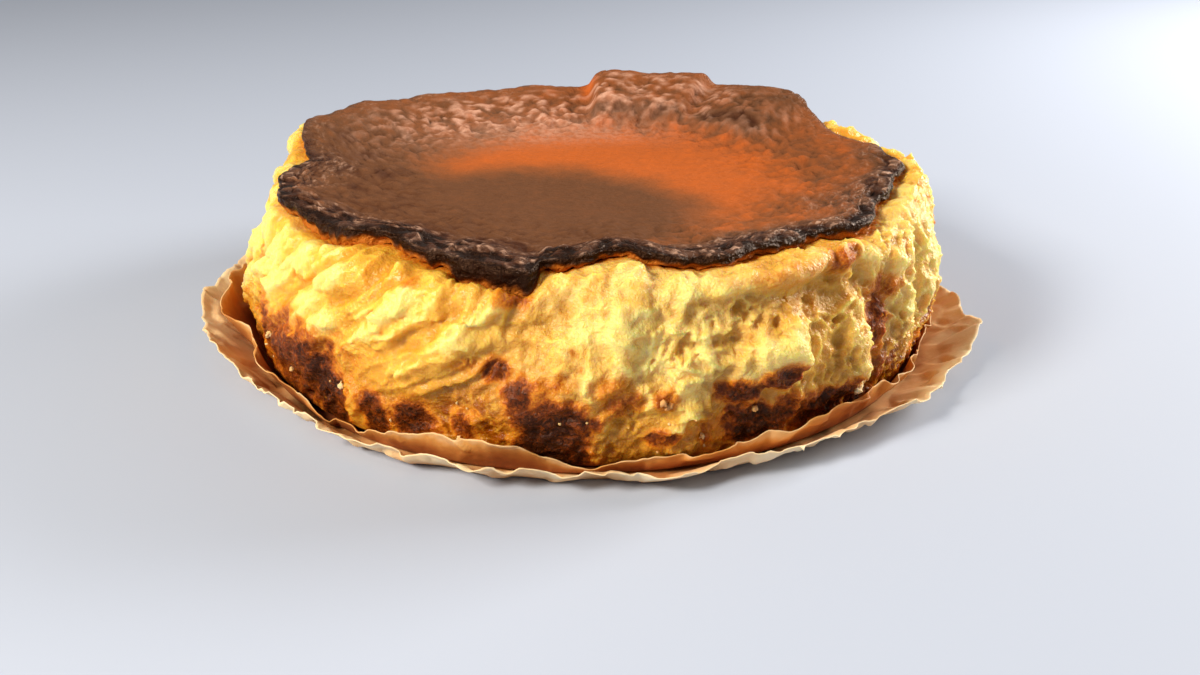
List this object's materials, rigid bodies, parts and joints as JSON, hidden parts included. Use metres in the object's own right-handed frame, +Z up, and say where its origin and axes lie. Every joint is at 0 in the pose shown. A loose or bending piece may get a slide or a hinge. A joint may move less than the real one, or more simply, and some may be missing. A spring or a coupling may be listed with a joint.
{
  "type": "basque cheesecake",
  "caption": "Round whole cheesecake with a sunken, burnt brown skin, creased pale curd sides and crumpled baking paper round its foot.",
  "frame": {"origin": "middle of the flat underside of the outer sheet of baking paper, on the surface the cake stands on", "axes": "+Z up, -Y towards the front, where the tongue of burnt skin hangs over the side, +X to its right"},
  "size_m": [0.2645, 0.2545, 0.0682],
  "materials": {
    "cheesecake": "baked cheese curd, pale and moist on the side, scorched brown in patches, with a burnt brown skin on top",
    "baking_paper": "crumpled unbleached baking paper, browned and greasy at its foot"
  },
  "bodies": {
    "root": {"cheesecake": "cheesecake", "inner_paper": "baking_paper", "outer_paper": "baking_paper"}
  },
  "joints": []
}
